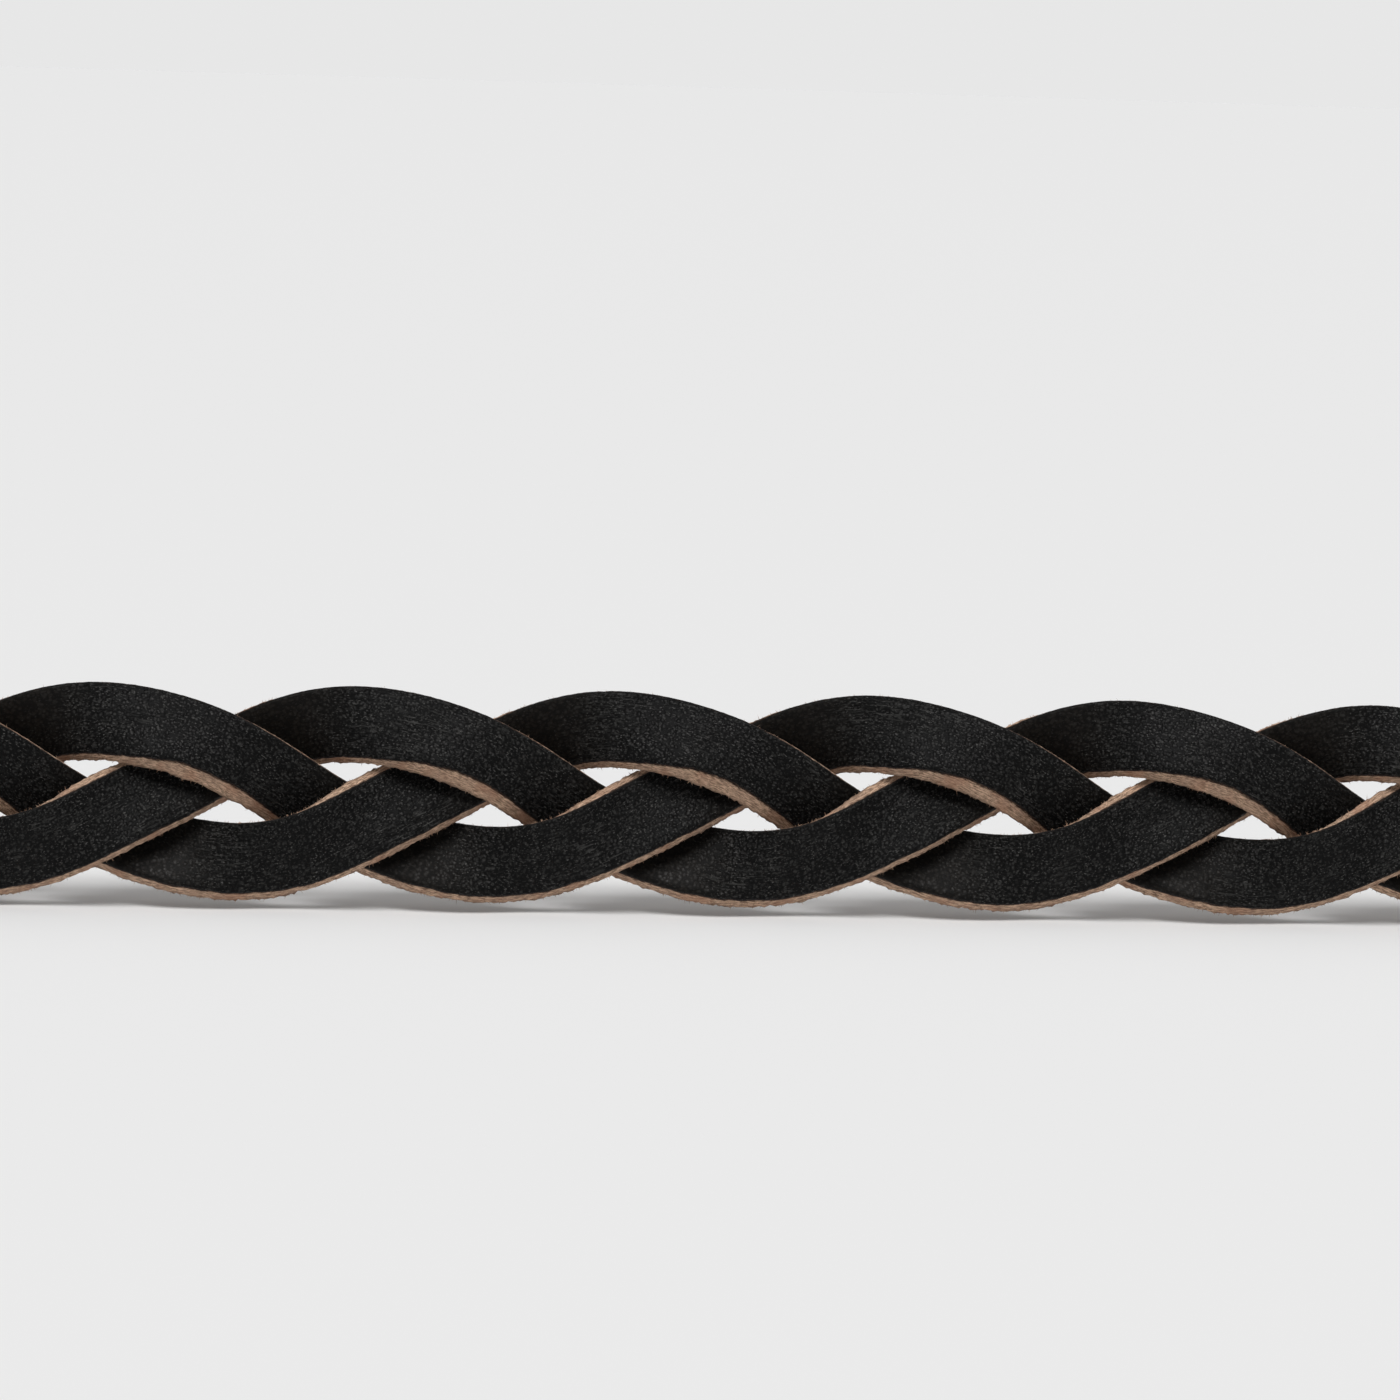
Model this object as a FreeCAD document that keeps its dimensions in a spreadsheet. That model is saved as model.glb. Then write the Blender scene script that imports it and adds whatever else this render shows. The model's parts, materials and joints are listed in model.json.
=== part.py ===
import FreeCAD, Part
import math
import os

import Sketcher
from FreeCAD import Placement, Rotation, Vector

# Plaited leather headband, lying open on its lower edge as a U.
# The plait's front runs along X and faces -Y. Its two arms turn back towards +Y.
# s is the length along the plait's middle line from the front's centre, + to the right.

SIZES = {
    # the plait
    "plait_period": 79.1,
    "weave_height": 7.05,
    "weave_skew_degrees": 2,
    "weave_depth": 1.65,
    "edge_tilt": 1.8,
    "strand_face": 7,
    "strand_end_face": 4.6,
    "strand_bevel": 0.9,
    "strand_thick": 1.8,
    "lane_pitch": 6.1,
    "lean_degrees": 6,
    "turn_dip": 0.95,
    # the open U
    "front_half": 90,
    "turn_radius": 72.8,
    # the leather tabs on the arms
    "tab_tall": 24,
    "tab_corner": 6,
    "outer_thick": 1.8,
    "lining_thick": 1.2,
    "layer_gap": 2.4,
    "left_tab_long": 34,
    "snap_tab_long": 36,
    "right_tab_long": 50,
    "tab_start_gap": 4,
    "strand_seat": 10,
    "core_inset": 0.3,
    "core_rail": 2.6,
    "seat_clearance": 1,
    # the elastic
    "elastic_wide": 18,
    "elastic_thick": 1.6,
    "elastic_seen": 46,
    "elastic_seat": 10,
    # the snap fastener
    "snap_from_end": 13,
    "snap_flange_radius": 5.5,
    "snap_flange_thick": 0.8,
    "cap_radius": 6.2,
    "cap_rim": 0.9,
    "cap_top_radius": 4,
    "cap_dome": 1.1,
    "rivet_radius": 1.5,
    "socket_bore_radius": 2.6,
    "socket_rim_radius": 4.2,
    "socket_deep": 1.8,
    "stud_radius": 2.5,
    "stud_tall": 1.8,
    # the stitching
    "stitch_pitch": 4,
    "stitch_long": 2.8,
    "stitch_wide": 0.6,
    "stitch_proud": 0.3,
    "stitch_from_edge": 1.4,
}

STRANDS = ("strand_a", "strand_b", "strand_c")
# Where the ends settle, as distances past the last whole crossing of the plait.
LANE_BLEND = (-9, 3)
WIDTH_BLEND = (-24, -3)
DEPTH_BLEND = (-3, 2)
# The turns sink to the ground over these lengths from the front's centre, and rise again to the tabs.
DIP_BLEND = (78, 104)
RISE_BLEND = (160, 196)
# The plait has this many periods each side of the front's centre.
HALF_PERIODS = 31 / 12
POINTS_PER_PERIOD = 20
# Each strand's long faces are made in this many stretches.
STRAND_SPANS = 16
SLOPE_STEP = 0.1
SAME = 1e-6
# A tab's whole thickness, as an expression.
STACK = "(sizes.outer_thick + sizes.layer_gap + sizes.lining_thick) * 1 mm"
ARM_AXES = Rotation(Vector(0, 1, 0), Vector(0, 0, 1), Vector(1, 0, 0), "XYZ")
LEFT, RIGHT = -1, 1


def make_sheet(doc):
    """The spreadsheet with one aliased cell for each driving size."""
    sheet = doc.addObject("Spreadsheet::Sheet", "sizes")
    for row, (name, value) in enumerate(SIZES.items(), start=1):
        sheet.set(f"A{row}", name)
        sheet.set(f"B{row}", str(value))
        sheet.setAlias(f"B{row}", name)
    doc.recompute()
    return sheet


def smooth(value, low, high):
    """0 before low, 1 after high, with no kink between."""
    part = min(max((value - low) / (high - low), 0), 1)
    return part ** 3 * (10 - 15 * part + 6 * part * part)


class Plait:
    """The three-strand plait as a formula."""

    def __init__(self, sheet):
        self.size = sheet
        self.wave = 2 * math.pi / sheet.plait_period
        self.half = HALF_PERIODS * sheet.plait_period

    def phase(self, strand, s):
        return self.wave * s + math.radians(120) * strand

    def skewed(self, strand, s):
        """The phase with each crest moved a little back along the plait."""
        turn = self.phase(strand, s)
        return turn + math.radians(self.size.weave_skew_degrees) * math.cos(3 * turn)

    def lane(self, strand, s):
        """The height at which a strand ends in its tab."""
        end = self.phase(strand, math.copysign(self.half, s))
        return self.size.lane_pitch * round(math.cos(end) / math.cos(math.radians(30)))

    def height(self, strand, s):
        """The middle of a strand above the plait's middle line."""
        settled = smooth(abs(s) - self.half, *LANE_BLEND)
        woven = self.size.weave_height * math.cos(self.skewed(strand, s))
        return woven * (1 - settled) + self.lane(strand, s) * settled

    def depth(self, strand, s, across):
        """How far a strand stands out, at across = -1 to 1 from its lower to its upper edge."""
        woven = 1 - smooth(abs(s) - self.half, *DEPTH_BLEND)
        turn = self.skewed(strand, s)
        over = self.size.weave_depth * math.sin(2 * turn)
        return woven * (over - across * self.size.edge_tilt * math.sin(3 * turn))

    def half_face(self, strand, s):
        """Half of the strand's width, measured straight up at s."""
        narrow = smooth(abs(s) - self.half, *WIDTH_BLEND)
        face = self.size.strand_face * (1 - narrow) + self.size.strand_end_face * narrow
        rise = self.height(strand, s + SLOPE_STEP) - self.height(strand, s - SLOPE_STEP)
        return face * math.hypot(1, rise / (2 * SLOPE_STEP)) / 2

    def corner(self, strand, s, across, side):
        """A corner of the section at s. side is 1 on the grain face and -1 on the flesh face."""
        up = self.height(strand, s) + across * self.half_face(strand, s)
        up += side * self.size.strand_bevel / 2
        out = self.depth(strand, s, across) + side * self.size.strand_thick / 2
        return self.place(s, up, out)

    def place(self, s, up, out):
        """A point of the U from its length along, height above and distance outside the middle line."""
        front, radius = self.size.front_half, self.size.turn_radius
        hand = math.copysign(1, s)
        turned = min(max((abs(s) - front) / radius, 0), math.pi / 2)
        along = max(abs(s) - front - radius * math.pi / 2, 0)
        x = hand * (min(abs(s), front) + radius * math.sin(turned))
        y = radius * (1 - math.cos(turned)) + along
        outward = Vector(hand * math.sin(turned), -math.cos(turned), 0)
        lean = math.radians(self.size.lean_degrees) * (1 - smooth(abs(s), front, self.half))
        flat = out * math.cos(lean) - up * math.sin(lean)
        tall = out * math.sin(lean) + up * math.cos(lean)
        dip = smooth(abs(s), *DIP_BLEND) - smooth(abs(s), *RISE_BLEND)
        middle = self.size.tab_tall / 2 - self.size.turn_dip * dip
        return Vector(x, y, middle + tall) + outward * flat


def strand_shape(plait, strand):
    """One leather strand: ruled faces between four edge curves, and two flat ends."""
    sheet = plait.size
    reach = plait.half + sheet.tab_start_gap + sheet.strand_seat
    count = math.ceil(2 * reach / sheet.plait_period * POINTS_PER_PERIOD)
    lengths = [reach * (2 * step / count - 1) for step in range(count + 1)]
    breaks = [reach * (2 * step / STRAND_SPANS - 1) for step in range(STRAND_SPANS + 1)]
    edges = []
    for across, side in ((-1, 1), (1, 1), (1, -1), (-1, -1)):
        curve = Part.BSplineCurve()
        points = [plait.corner(strand, s, across, side) for s in lengths]
        curve.interpolate(Points=points, Parameters=lengths)
        edges.append([curve.toShape(first, last) for first, last in zip(breaks, breaks[1:])])
    faces = []
    for n in range(4):
        faces += [Part.makeRuledSurface(*pair) for pair in zip(edges[n], edges[(n + 1) % 4])]
    for end in (0, -1):
        corners = [spans[end].Vertexes[end].Point for spans in edges]
        faces.append(Part.Face(Part.makePolygon(corners + corners[:1])))
    shell = Part.Shell(faces)
    shell.sewShape()
    solid = Part.Solid(shell)
    if solid.Volume < 0:
        solid.reverse()
    return solid


def make_strands(doc, plait):
    for number, name in enumerate(STRANDS):
        feature = doc.addObject("Part::Feature", name)
        feature.Label = name
        feature.Shape = strand_shape(plait, number)
        yield feature


class Arm:
    """One arm's flat end. out is measured outwards from the middle of the strands."""

    def __init__(self, doc, sheet, plait, hand):
        self.doc = doc
        self.sheet = sheet
        self.hand = hand
        self.x = hand * (sheet.front_half + sheet.turn_radius)
        self.y = sheet.turn_radius + sheet.tab_start_gap
        self.y += plait.half - sheet.front_half - sheet.turn_radius * math.pi / 2

    def placement(self, along, up, out, thick=0):
        """Stands a piece drawn along X and Y on the arm, its near face at out, growing outwards."""
        x = self.x + self.hand * out
        if self.hand == LEFT:
            x -= thick
        return Placement(Vector(x, self.y + along, up), ARM_AXES)

    def axis_placement(self, along, out, outward=True):
        """Turns a piece that grows along Z so that it grows outwards from, or into, the arm."""
        way = self.hand if outward else -self.hand
        place = Vector(self.x + self.hand * out, self.y + along, self.sheet.tab_tall / 2)
        return Placement(place, Rotation(Vector(0, 0, 1), Vector(way, 0, 0)))


def named(feature, label, placement):
    feature.Label = label
    feature.Placement = placement
    return feature


def bound(doc, kind, name, sizes):
    """A Part primitive whose sizes are expressions on the sheet."""
    feature = doc.addObject(kind, name)
    for key, expression in sizes.items():
        feature.setExpression(key, expression)
    return feature


def plane_of(body, role):
    return next(item for item in body.Origin.OriginFeatures if item.Role == role)


def constrain(sketch, name, constraint, expression):
    """Adds a constraint whose value is an expression on the sheet."""
    number = sketch.addConstraint(constraint)
    sketch.renameConstraint(number, name)
    sketch.setExpression(f"Constraints.{name}", expression)


def rectangle(sketch, long_by, tall_by, along_by=None, up_by=None):
    """A rectangle with its first corner at along and up, or on the sketch's axes without them.

    The points only start the solver off. The expressions give the sizes.
    """
    corners = [Vector(3, 3, 0), Vector(13, 3, 0), Vector(13, 8, 0), Vector(3, 8, 0)]
    for start, end in zip(corners, corners[1:] + corners[:1]):
        sketch.addGeometry(Part.LineSegment(start, end))
    for side in range(4):
        sketch.addConstraint(Sketcher.Constraint("Coincident", side, 2, (side + 1) % 4, 1))
    for side, way in enumerate(("Horizontal", "Vertical", "Horizontal", "Vertical")):
        sketch.addConstraint(Sketcher.Constraint(way, side))
    constrain(sketch, "long", Sketcher.Constraint("Distance", 0, 10), long_by)
    constrain(sketch, "tall", Sketcher.Constraint("Distance", 1, 5), tall_by)
    if along_by:
        constrain(sketch, "along", Sketcher.Constraint("DistanceX", -1, 1, 0, 1, 3), along_by)
    else:
        sketch.addConstraint(Sketcher.Constraint("PointOnObject", 0, 1, -2))
    if up_by:
        constrain(sketch, "up", Sketcher.Constraint("DistanceY", -1, 1, 0, 1, 3), up_by)
    else:
        sketch.addConstraint(Sketcher.Constraint("PointOnObject", 0, 1, -1))


def circle(sketch, along_by, up_by, radius_by):
    """A hole's circle, with its centre and radius bound to the sheet."""
    sketch.addGeometry(Part.Circle(Vector(8, 4, 0), Vector(0, 0, 1), 1))
    constrain(sketch, "along", Sketcher.Constraint("DistanceX", -1, 1, 0, 3, 8), along_by)
    constrain(sketch, "up", Sketcher.Constraint("DistanceY", -1, 1, 0, 3, 4), up_by)
    constrain(sketch, "radius", Sketcher.Constraint("Radius", 0, 1), radius_by)


def new_sketch(body, name):
    sketch = body.newObject("Sketcher::SketchObject", name)
    sketch.AttachmentSupport = [(plane_of(body, "XY_Plane"), "")]
    sketch.MapMode = "FlatFace"
    return sketch


def free_corners(shape):
    """The names of the two upright edges at the far end of a pad along X."""
    far = shape.BoundBox.XMax
    for number, edge in enumerate(shape.Edges, start=1):
        ends = [vertex.Point for vertex in edge.Vertexes]
        at_end = len(ends) == 2 and all(abs(end.x - far) < SAME for end in ends)
        if at_end and abs(ends[0].y - ends[1].y) < SAME:
            yield f"Edge{number}"


def padded(body, label, outline, thick_by):
    """The body's first solid, a pad of the outline."""
    pad = body.newObject("PartDesign::Pad", label + "_pad")
    pad.Profile = outline
    pad.setExpression("Length", thick_by)
    body.Document.recompute()


def rounded(body, label, radius_by):
    """Rounds the two corners at the body's free end."""
    base = body.Tip
    rounding = body.newObject("PartDesign::Fillet", label + "_corners")
    rounding.Base = (base, list(free_corners(base.Shape)))
    rounding.setExpression("Radius", radius_by)
    body.Document.recompute()


def pocketed(body, label, mouth):
    """Cuts the sketch's shape right through the body."""
    before = body.Tip.Shape.Volume
    pocket = body.newObject("PartDesign::Pocket", label)
    pocket.Profile = mouth
    pocket.Type = "ThroughAll"
    pocket.Reversed = True
    body.Document.recompute()
    if pocket.Shape.Volume > before - SAME:
        raise RuntimeError(f"{label} cuts nothing")


def holed(body, label, long_by):
    """The rivet's hole."""
    mouth = new_sketch(body, label + "_mouth")
    circle(mouth, f"{long_by} - sizes.snap_from_end", "sizes.tab_tall / 2", "sizes.rivet_radius")
    pocketed(body, label + "_hole", mouth)


def layer(doc, label, long_by, thick_by, has_hole):
    """A flat leather layer with two rounded corners at its free end, and a rivet hole if it has one."""
    body = doc.addObject("PartDesign::Body", label)
    outline = new_sketch(body, label + "_outline")
    rectangle(outline, long_by, "sizes.tab_tall")
    padded(body, label, outline, thick_by)
    rounded(body, label, "sizes.tab_corner")
    if has_hole:
        holed(body, label, long_by)
    return body


def core(doc, label, long_by, seats, has_hole):
    """The filler between two layers, cut away between two rails where it seats the strands or the elastic."""
    body = doc.addObject("PartDesign::Body", label)
    outline = new_sketch(body, label + "_outline")
    inset = "sizes.core_inset"
    rectangle(outline, f"{long_by} - 2 * {inset}", f"sizes.tab_tall - 2 * {inset}", inset, inset)
    padded(body, label, outline, "sizes.layer_gap")
    rounded(body, label, f"sizes.tab_corner - {inset}")
    for number, (seat_long_by, from_by) in enumerate(seats):
        seat = new_sketch(body, f"{label}_seat_{number}")
        tall_by = "sizes.tab_tall - 2 * sizes.core_rail"
        rectangle(seat, f"{seat_long_by} + sizes.seat_clearance", tall_by, from_by, "sizes.core_rail")
        pocketed(body, f"{label}_seat_cut_{number}", seat)
    if has_hole:
        holed(body, label, long_by)
    return body


def disc(doc, name, radius, tall, from_base="0 mm"):
    sizes = {"Radius": radius, "Height": tall, "Placement.Base.z": from_base}
    return bound(doc, "Part::Cylinder", name, sizes)


def fused(doc, label, pieces):
    whole = doc.addObject("Part::MultiFuse", label)
    whole.Shapes = pieces
    return whole


def snap_cap(doc):
    """The domed cap, with the hollow rivet's barrel below it, which goes through the tab."""
    rim = disc(doc, "cap_rim_disc", "sizes.cap_radius", "sizes.cap_rim")
    dome = bound(doc, "Part::Cone", "cap_dome_cone", {
        "Radius1": "sizes.cap_radius",
        "Radius2": "sizes.cap_top_radius",
        "Height": "sizes.cap_dome",
        "Placement.Base.z": "sizes.cap_rim * 1 mm",
    })
    barrel = disc(doc, "cap_barrel", "sizes.rivet_radius", STACK, f"-{STACK}")
    return fused(doc, "snap_cap", [rim, dome, barrel])


def snap_socket(doc):
    """The socket's flange, with the raised rim that springs over the stud."""
    flange = disc(doc, "socket_flange", "sizes.snap_flange_radius", "sizes.snap_flange_thick")
    tall = "(sizes.snap_flange_thick + sizes.socket_deep) * 1 mm"
    rim = disc(doc, "socket_rim", "sizes.socket_rim_radius", tall)
    floor = "sizes.snap_flange_thick * 1 mm"
    hollow = disc(doc, "socket_hollow", "sizes.socket_bore_radius", "sizes.socket_deep", floor)
    cut = doc.addObject("Part::Cut", "snap_socket")
    cut.Base = fused(doc, "socket_body", [flange, rim])
    cut.Tool = hollow
    return cut


def snap_stud(doc):
    """The stud's flange and the pin that the socket closes over."""
    flange = disc(doc, "stud_flange", "sizes.snap_flange_radius", "sizes.snap_flange_thick")
    base = "sizes.snap_flange_thick * 1 mm"
    pin = disc(doc, "stud_pin", "sizes.stud_radius", "sizes.stud_tall", base)
    return fused(doc, "snap_stud", [flange, pin])


def snap_post(doc):
    """The plain flange behind the stud, with the barrel that goes through the tab."""
    flange = disc(doc, "post_flange", "sizes.snap_flange_radius", "sizes.snap_flange_thick")
    barrel = disc(doc, "post_barrel", "sizes.rivet_radius", STACK, f"-{STACK}")
    return fused(doc, "snap_post", [flange, barrel])


def spread(room, pitch):
    """Even places over the room, about one pitch apart and half a step from its ends."""
    count = round(room / pitch)
    return [room * (step + 0.5) / count for step in range(count)]


def rim_place(sheet, long, distance):
    """Centre along and up, and turn in degrees, at a distance down the row inside the rounded rim."""
    inset, corner = sheet.stitch_from_edge, sheet.tab_corner
    radius = corner - inset
    side, bend = long - corner - inset, radius * math.pi / 2
    if distance < side:
        return inset + distance, inset, 0
    if distance < side + bend:
        angle = (distance - side) / radius
        along, up = radius * math.sin(angle), -radius * math.cos(angle)
        return long - corner + along, corner + up, math.degrees(angle)
    return long - inset, corner + distance - side - bend, 90


def stitch_places(sheet, long, cross_rows):
    """Centre along and up, and turn in degrees, of each stitch on one face of a tab."""
    inset, tall = sheet.stitch_from_edge, sheet.tab_tall
    radius = sheet.tab_corner - inset
    half_rim = long - sheet.tab_corner - inset + radius * math.pi / 2 + tall / 2 - sheet.tab_corner
    for distance in spread(2 * half_rim, sheet.stitch_pitch):
        along, up, turn = rim_place(sheet, long, min(distance, 2 * half_rim - distance))
        yield (along, up, turn) if distance < half_rim else (along, tall - up, -turn)
    for along in cross_rows:
        for up in spread(tall - 2 * inset, sheet.stitch_pitch):
            yield along, inset + up, 90


def stitching(arm, label, start, long, cross_rows):
    """Every stitch of a tab, on its outer and its lining face, as separate small solids."""
    sheet = arm.sheet
    half = sheet.layer_gap / 2
    corner = Vector(-sheet.stitch_long / 2, -sheet.stitch_wide / 2, 0)
    bars = []
    for along, up, turn in stitch_places(sheet, long, cross_rows):
        turned = Placement(Vector(0, 0, 0), Rotation(Vector(0, 0, 1), turn))
        for out in (half + sheet.outer_thick, -half - sheet.lining_thick - sheet.stitch_proud):
            bar = Part.makeBox(sheet.stitch_long, sheet.stitch_wide, sheet.stitch_proud, corner)
            bar.Placement = arm.placement(start + along, up, out, sheet.stitch_proud).multiply(turned)
            bars.append(bar)
    feature = arm.doc.addObject("Part::Feature", label)
    feature.Label = label
    feature.Shape = Part.makeCompound(bars)
    return feature


def tab(arm, prefix, start, seats, cross_rows, has_snap):
    """A tab's outer layer, lining, core and stitching. start is where it begins along the arm."""
    sheet, half = arm.sheet, arm.sheet.layer_gap / 2
    long_by = f"sizes.{prefix}_long"
    outer = layer(arm.doc, prefix + "_outer", long_by, "sizes.outer_thick", has_snap)
    lining = layer(arm.doc, prefix + "_lining", long_by, "sizes.lining_thick", has_snap)
    filler = core(arm.doc, prefix + "_core", long_by, seats, has_snap)
    back = -half - sheet.lining_thick
    pieces = [
        named(outer, prefix + "_outer", arm.placement(start, 0, half, sheet.outer_thick)),
        named(lining, prefix + "_lining", arm.placement(start, 0, back, sheet.lining_thick)),
        named(filler, prefix + "_core", arm.placement(start, 0, -half, sheet.layer_gap)),
    ]
    long = sheet.getPropertyByName(f"{prefix}_long")
    pieces.append(stitching(arm, prefix + "_stitching", start, long, cross_rows))
    return pieces


def snap_half(arm, end, outside, inside):
    """Sets one half of the snap fastener on the tab that ends at end along the arm."""
    sheet = arm.sheet
    centre = end - sheet.snap_from_end
    face = sheet.layer_gap / 2 + sheet.outer_thick
    back = -sheet.layer_gap / 2 - sheet.lining_thick
    return [
        named(outside, outside.Name, arm.axis_placement(centre, face)),
        named(inside, inside.Name, arm.axis_placement(centre, back, False)),
    ]


def left_arm(doc, sheet, plait):
    """The left tab, the elastic and the snap tab with its cap and socket."""
    arm = Arm(doc, sheet, plait, LEFT)
    edge = sheet.stitch_from_edge
    far_seat = "sizes.left_tab_long - sizes.elastic_seat - sizes.seat_clearance"
    seats = (("sizes.strand_seat", None), ("sizes.elastic_seat", far_seat))
    rows = (edge, sheet.left_tab_long - sheet.elastic_seat)
    pieces = tab(arm, "left_tab", 0, seats, rows, False)

    elastic = bound(doc, "Part::Box", "elastic_strap", {
        "Length": "sizes.elastic_seen + 2 * sizes.elastic_seat",
        "Width": "sizes.elastic_wide",
        "Height": "sizes.elastic_thick",
    })
    along = sheet.left_tab_long - sheet.elastic_seat
    low = (sheet.tab_tall - sheet.elastic_wide) / 2
    place = arm.placement(along, low, -sheet.elastic_thick / 2, sheet.elastic_thick)
    pieces.append(named(elastic, "elastic_strap", place))

    start = sheet.left_tab_long + sheet.elastic_seen
    seats = (("sizes.elastic_seat", None),)
    pieces += tab(arm, "snap_tab", start, seats, (edge, sheet.elastic_seat), True)
    pieces += snap_half(arm, start + sheet.snap_tab_long, snap_cap(doc), snap_socket(doc))
    return pieces


def right_arm(doc, sheet, plait):
    """The right tab with the stud that the socket closes over."""
    arm = Arm(doc, sheet, plait, RIGHT)
    seats = (("sizes.strand_seat", None),)
    rows = (sheet.stitch_from_edge, sheet.strand_seat)
    pieces = tab(arm, "right_tab", 0, seats, rows, True)
    pieces += snap_half(arm, sheet.right_tab_long, snap_stud(doc), snap_post(doc))
    return pieces


def centre_on_origin(pieces):
    """Moves every piece alike, so that the origin is under the middle of the whole headband."""
    box = FreeCAD.BoundBox()
    for piece in pieces:
        box.add(piece.Shape.optimalBoundingBox(True, False))
    shift = Vector(-box.Center.x, -box.Center.y, -box.ZMin)
    for piece in pieces:
        piece.Placement.Base = piece.Placement.Base + shift
    print("moved by", shift, "box", box)


def check(doc, pieces):
    for item in doc.Objects:
        if {"Invalid", "Error"} & set(item.State):
            raise RuntimeError(f"{item.Label} failed: {item.State}")
    for piece in pieces:
        if piece.Shape.isNull() or not piece.Shape.isValid():
            raise RuntimeError(f"{piece.Label} has no valid shape")


def main():
    doc = FreeCAD.newDocument("headband")
    sheet = make_sheet(doc)
    plait = Plait(sheet)
    pieces = list(make_strands(doc, plait))
    pieces += left_arm(doc, sheet, plait)
    pieces += right_arm(doc, sheet, plait)
    doc.recompute()
    centre_on_origin(pieces)
    doc.recompute()
    check(doc, pieces)
    os.makedirs("parts", exist_ok=True)
    for piece in pieces:
        piece.Shape.exportStep(f"parts/{piece.Label}.step")
        print(f"{piece.Label}: {piece.Shape.Volume:.1f} mm3, {len(piece.Shape.Solids)} solids")


main()
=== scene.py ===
"""A plaited leather headband, standing open on a pale floor."""

import json
import math

import bpy
import numpy as np
from mathutils import Matrix, Vector


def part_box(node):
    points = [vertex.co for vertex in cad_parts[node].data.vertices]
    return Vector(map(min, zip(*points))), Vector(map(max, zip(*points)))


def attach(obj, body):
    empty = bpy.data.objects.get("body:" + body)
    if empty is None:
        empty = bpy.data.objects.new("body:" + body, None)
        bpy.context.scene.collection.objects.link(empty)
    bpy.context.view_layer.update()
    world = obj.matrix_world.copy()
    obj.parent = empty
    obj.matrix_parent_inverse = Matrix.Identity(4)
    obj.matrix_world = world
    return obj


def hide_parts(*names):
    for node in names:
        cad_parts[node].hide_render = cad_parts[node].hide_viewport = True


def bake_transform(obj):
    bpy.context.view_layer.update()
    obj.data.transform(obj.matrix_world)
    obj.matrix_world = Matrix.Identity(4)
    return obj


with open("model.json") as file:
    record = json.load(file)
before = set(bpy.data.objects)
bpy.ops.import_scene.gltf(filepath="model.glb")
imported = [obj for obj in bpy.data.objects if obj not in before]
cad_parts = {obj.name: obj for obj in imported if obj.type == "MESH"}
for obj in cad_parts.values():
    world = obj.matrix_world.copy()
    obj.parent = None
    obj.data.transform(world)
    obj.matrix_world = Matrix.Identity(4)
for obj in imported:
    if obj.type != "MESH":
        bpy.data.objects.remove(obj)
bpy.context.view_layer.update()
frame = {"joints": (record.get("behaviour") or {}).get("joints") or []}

MM = 0.001
JOINTS = {joint["name"]: joint for joint in frame["joints"]}
LEFT_HINGE = Vector(JOINTS["left_flex"]["pos_m"]) / MM
RIGHT_HINGE = Vector(JOINTS["right_flex"]["pos_m"]) / MM
FRONT = (LEFT_HINGE + RIGHT_HINGE) / 2

# The plait, in millimetres: the same formula and sizes as the CAD model.
PERIOD = 79.1
HALF_LENGTH = PERIOD * 31 / 12
# In degrees of the weave's cycle: each strand's lead over the one before, and where it runs under another.
STRAND_TURN = 120
UNDER_TURN = 120
WEAVE_HEIGHT = 7.05
WEAVE_DEPTH = 1.65
WEAVE_SKEW = math.radians(2)
EDGE_TILT = 1.8
FACE = 7
END_FACE = 4.6
BEVEL = 0.9
THICK = 1.8
LANE_PITCH = 6.1
LEAN = math.radians(6)
TURN_DIP = 0.95
FRONT_HALF = 90
TURN_RADIUS = 72.8
# From the weave's end on to the tab, and on into it to the strand's end.
TAB_GAP, STRAND_SEAT = 4, 10
REACH = HALF_LENGTH + TAB_GAP + STRAND_SEAT
# Where each change starts and ends: measured from the weave's end, but from its middle for the dip.
LANE_BLEND = (-9, 3)
WIDTH_BLEND = (-24, -3)
DEPTH_BLEND = (-3, 2)
DIP_BLEND = (78, 104)
RISE_BLEND = (160, 196)
STRANDS = ("strand_a", "strand_b", "strand_c")

# What the finished leather adds to the plain section. The step is between the points along a strand.
CROWN = 0.16
GRAIN_CORNER = 0.32
FLESH_CORNER = 0.15
STEP = 0.3
FLOOR_GAP = 0.02
CUT_ROUGHNESS = 0.06
# Of that roughness, the share beside the grain, in single points, in runs of points, and out of the face.
ROUGH_LEAST, ROUGH_SINGLE, ROUGH_RUN, ROUGH_OUT = 0.15, 0.7, 0.5, 0.3
RUN_REACH = 3
# The strands' random numbers start from this seed, and their strap maps lie this far apart.
STRAND_SEED, STRAND_STRAP = 11, 500

# The width of the raw edge below and above a strand's face, in the weave. It swells and shrinks by
# an (amount, centre, reach) round the weave's cycle, and drifts by an (amount, seed, length).
LOWER_CUT, UPPER_CUT = 0.68, 0.4
LOWER_SWELLS = ((1.05, 56, 62), (0.12, 165, 60))
UPPER_SWELLS = ((-1.15, 241, 44), (-0.3, 192, 34), (-0.35, 312, 24))
LOWER_DRIFTS = ((0.10, 4, 17), (0.07, 5, 5), (0.05, 8, 2.1))
UPPER_DRIFTS = ((0.10, 6, 9),)
# How far the black finish is worn off the grain corner, in the same way.
WORN_SWELLS = ((0.24, 92, 40), (0.12, 306, 12))
# Where the raw edges become even, measured from the weave's end.
PLAIN_BLEND = (-24, -12)
# How unevenly the strands lie and are cut, as drifts. The face's is a share of its width.
HEIGHT_DRIFTS = ((0.1, 1, 61),)
DEPTH_DRIFTS = ((0.06, 2, 47),)
FACE_DRIFTS = ((0.02, 3, 39),)

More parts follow.
